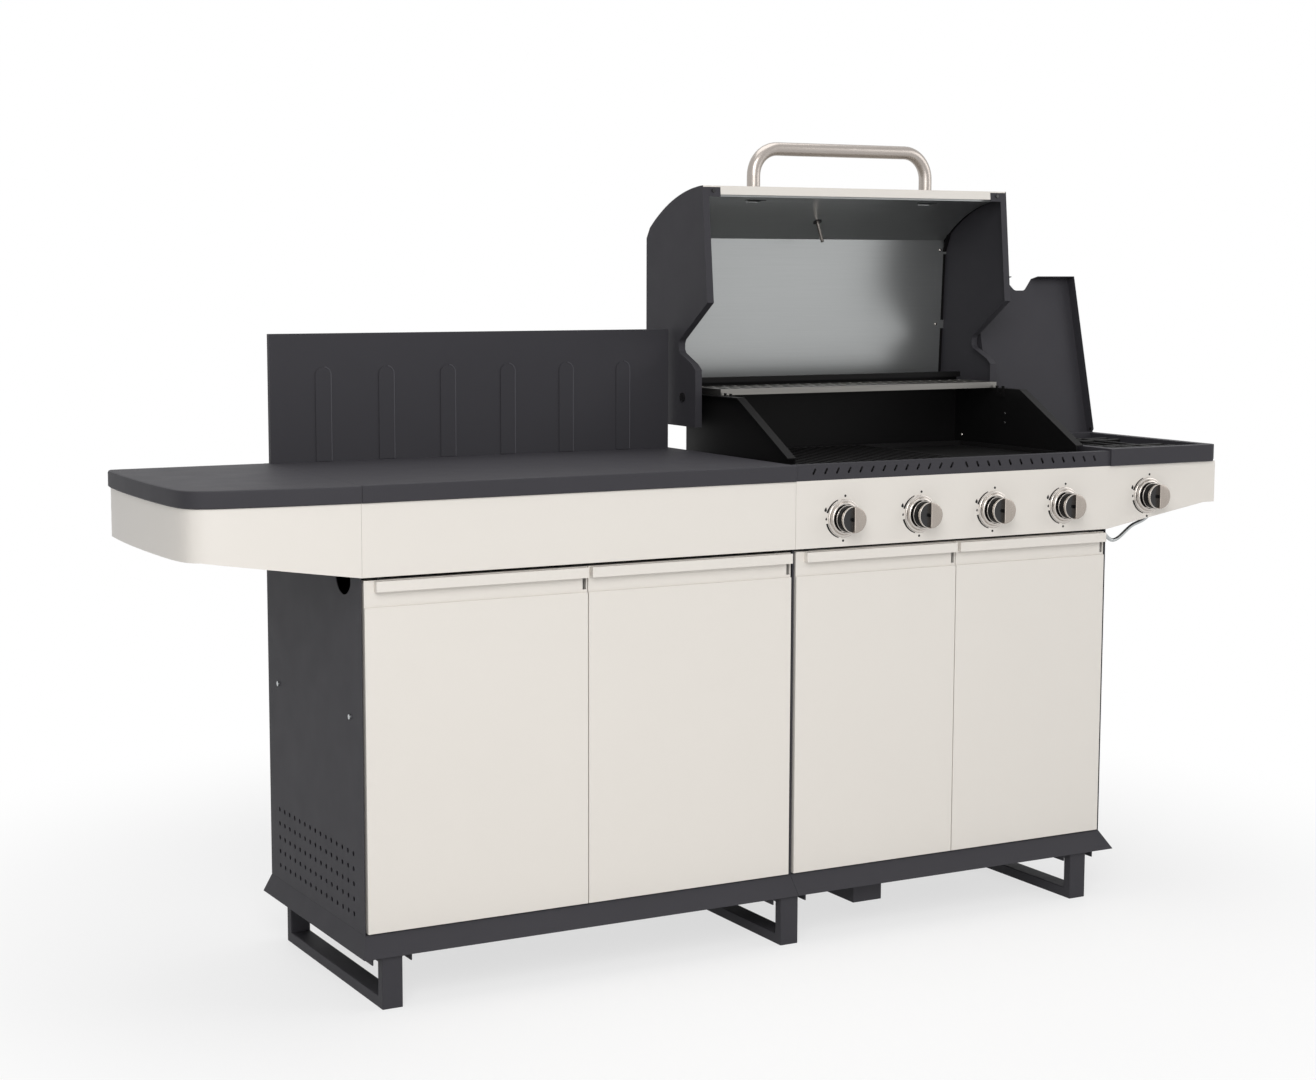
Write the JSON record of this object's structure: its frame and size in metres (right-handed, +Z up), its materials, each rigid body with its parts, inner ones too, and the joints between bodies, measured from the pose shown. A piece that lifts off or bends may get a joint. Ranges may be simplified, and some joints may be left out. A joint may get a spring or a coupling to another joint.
{
  "type": "gas barbecue grill",
  "caption": "Freestanding gas barbecue grill built into cabinets with doors, a worktop, side shelves, a hinged lid, cooking surfaces and a lidded side burner.",
  "frame": {"origin": "on the ground, under the middle of the bounding box", "axes": "+X to the right seen from the front, +Y to the back, +Z up"},
  "size_m": [2.176, 0.626, 1.5115],
  "materials": {
    "beige_enamel": "satin enamel",
    "anthracite_paint": "satin powder coat",
    "black_enamel": "gloss enamel",
    "black_plastic": "satin",
    "cast_iron": "matt enamel",
    "galvanised": "zinc coated",
    "steel": "brushed",
    "brass": "turned",
    "aluminium": "cast"
  },
  "bodies": {
    "grill": {"back_panel_left": "anthracite_paint", "back_panel_right": "anthracite_paint", "backsplash": "anthracite_paint", "base_tray_left": "anthracite_paint", "base_tray_right": "anthracite_paint", "burner_tubes": "galvanised", "cabinet_shelf": "anthracite_paint", "control_panel": "beige_enamel", "countertop": "anthracite_paint", "divider_panels": "anthracite_paint", "door_catches": "black_plastic", "fascia_left": "beige_enamel", "firebox": "black_enamel", "flame_covers": "black_enamel", "floor_channel": "anthracite_paint", "foot_left": "anthracite_paint", "foot_middle": "anthracite_paint", "foot_right": "anthracite_paint", "front_rails": "anthracite_paint", "gas_manifold": "brass", "gas_valves": "brass", "hinge_pins": "galvanised", "knob_bezels": "steel", "pan_support": "cast_iron", "panel_screws": "galvanised", "side_burner": "aluminium", "side_burner_fascia": "beige_enamel", "side_burner_top": "anthracite_paint", "side_gas_tube": "brass", "side_panel_left": "anthracite_paint", "side_panel_right": "anthracite_paint", "side_shelf_fascia": "beige_enamel", "side_shelf_top": "anthracite_paint", "vent_strip": "anthracite_paint"},
    "lid": {"lid_side_left": "anthracite_paint", "lid_side_right": "anthracite_paint", "lid_skin": "beige_enamel", "lid_liner": "galvanised", "lid_handle": "steel", "lid_thermometer": "steel", "lid_screws": "galvanised"},
    "side_lid": {"side_burner_lid": "anthracite_paint"},
    "door_1": {"door_1": "beige_enamel"},
    "door_2": {"door_2": "beige_enamel"},
    "door_3": {"door_3": "beige_enamel"},
    "door_4": {"door_4": "beige_enamel"},
    "stem_1": {"knob_stem_1": "black_plastic"},
    "knob_1": {"knob_1": "steel"},
    "stem_2": {"knob_stem_2": "black_plastic"},
    "knob_2": {"knob_2": "steel"},
    "stem_3": {"knob_stem_3": "black_plastic"},
    "knob_3": {"knob_3": "steel"},
    "stem_4": {"knob_stem_4": "black_plastic"},
    "knob_4": {"knob_4": "steel"},
    "stem_5": {"knob_stem_5": "black_plastic"},
    "knob_5": {"knob_5": "steel"},
    "grease_tray": {"grease_tray": "galvanised"},
    "cooking_grate": {"cooking_grate": "cast_iron"},
    "griddle_plate": {"griddle_plate": "cast_iron"},
    "warming_rack": {"warming_rack": "galvanised"}
  },
  "joints": [
    {"name": "lid_hinge", "type": "hinge", "parent": "grill", "child": "lid", "pos_m": [0.44, 0.159, 1.0035], "axis": [1, 0, 0], "range_deg": [0, 98.5]},
    {"name": "side_lid_hinge", "type": "hinge", "parent": "grill", "child": "side_lid", "pos_m": [0.9485, 0.127, 0.911], "axis": [1, 0, 0], "range_deg": [0, 103.5]},
    {"name": "door_1_hinge", "type": "hinge", "parent": "grill", "child": "door_1", "pos_m": [-0.7505, -0.254, 0.4335], "axis": [0, 0, -1], "range_deg": [0, 90]},
    {"name": "door_2_hinge", "type": "hinge", "parent": "grill", "child": "door_2", "pos_m": [0.03735, -0.254, 0.4335], "axis": [0, 0, 1], "range_deg": [0, 90]},
    {"name": "door_3_hinge", "type": "hinge", "parent": "grill", "child": "door_3", "pos_m": [0.10465, -0.254, 0.4335], "axis": [0, 0, -1], "range_deg": [0, 90]},
    {"name": "door_4_hinge", "type": "hinge", "parent": "grill", "child": "door_4", "pos_m": [0.7755, -0.254, 0.4335], "axis": [0, 0, 1], "range_deg": [0, 90]},
    {"name": "knob_push_1", "type": "slide", "parent": "grill", "child": "stem_1", "axis": [0, 1, 0], "range_m": [0, 0.004], "stiffness_N_per_m": 800, "springref_m": -0.001},
    {"name": "knob_turn_1", "type": "hinge", "parent": "stem_1", "child": "knob_1", "pos_m": [0.1775, -0.303, 0.797], "axis": [0, -1, 0], "range_deg": [0, 180]},
    {"name": "knob_push_2", "type": "slide", "parent": "grill", "child": "stem_2", "axis": [0, 1, 0], "range_m": [0, 0.004], "stiffness_N_per_m": 800, "springref_m": -0.001},
    {"name": "knob_turn_2", "type": "hinge", "parent": "stem_2", "child": "knob_2", "pos_m": [0.3505, -0.303, 0.797], "axis": [0, -1, 0], "range_deg": [0, 180]},
    {"name": "knob_push_3", "type": "slide", "parent": "grill", "child": "stem_3", "axis": [0, 1, 0], "range_m": [0, 0.004], "stiffness_N_per_m": 800, "springref_m": -0.001},
    {"name": "knob_turn_3", "type": "hinge", "parent": "stem_3", "child": "knob_3", "pos_m": [0.5235, -0.303, 0.797], "axis": [0, -1, 0], "range_deg": [0, 180]},
    {"name": "knob_push_4", "type": "slide", "parent": "grill", "child": "stem_4", "axis": [0, 1, 0], "range_m": [0, 0.004], "stiffness_N_per_m": 800, "springref_m": -0.001},
    {"name": "knob_turn_4", "type": "hinge", "parent": "stem_4", "child": "knob_4", "pos_m": [0.6965, -0.303, 0.797], "axis": [0, -1, 0], "range_deg": [0, 180]},
    {"name": "knob_push_5", "type": "slide", "parent": "grill", "child": "stem_5", "axis": [0, 1, 0], "range_m": [0, 0.004], "stiffness_N_per_m": 800, "springref_m": -0.001},
    {"name": "knob_turn_5", "type": "hinge", "parent": "stem_5", "child": "knob_5", "pos_m": [0.911, -0.3015, 0.807], "axis": [0, -1, 0], "range_deg": [0, 180]},
    {"name": "grease_tray_slide", "type": "slide", "parent": "grill", "child": "grease_tray", "axis": [0, 1, 0], "range_m": [0, 0.3]},
    {"name": "cooking_grate_lift", "type": "slide", "parent": "grill", "child": "cooking_grate", "axis": [0, 0, 1], "range_m": [0, 0.06]},
    {"name": "griddle_lift", "type": "slide", "parent": "grill", "child": "griddle_plate", "axis": [0, 0, 1], "range_m": [0, 0.06]},
    {"name": "warming_rack_lift", "type": "slide", "parent": "grill", "child": "warming_rack", "axis": [0, 0, 1], "range_m": [0, 0.04]}
  ]
}
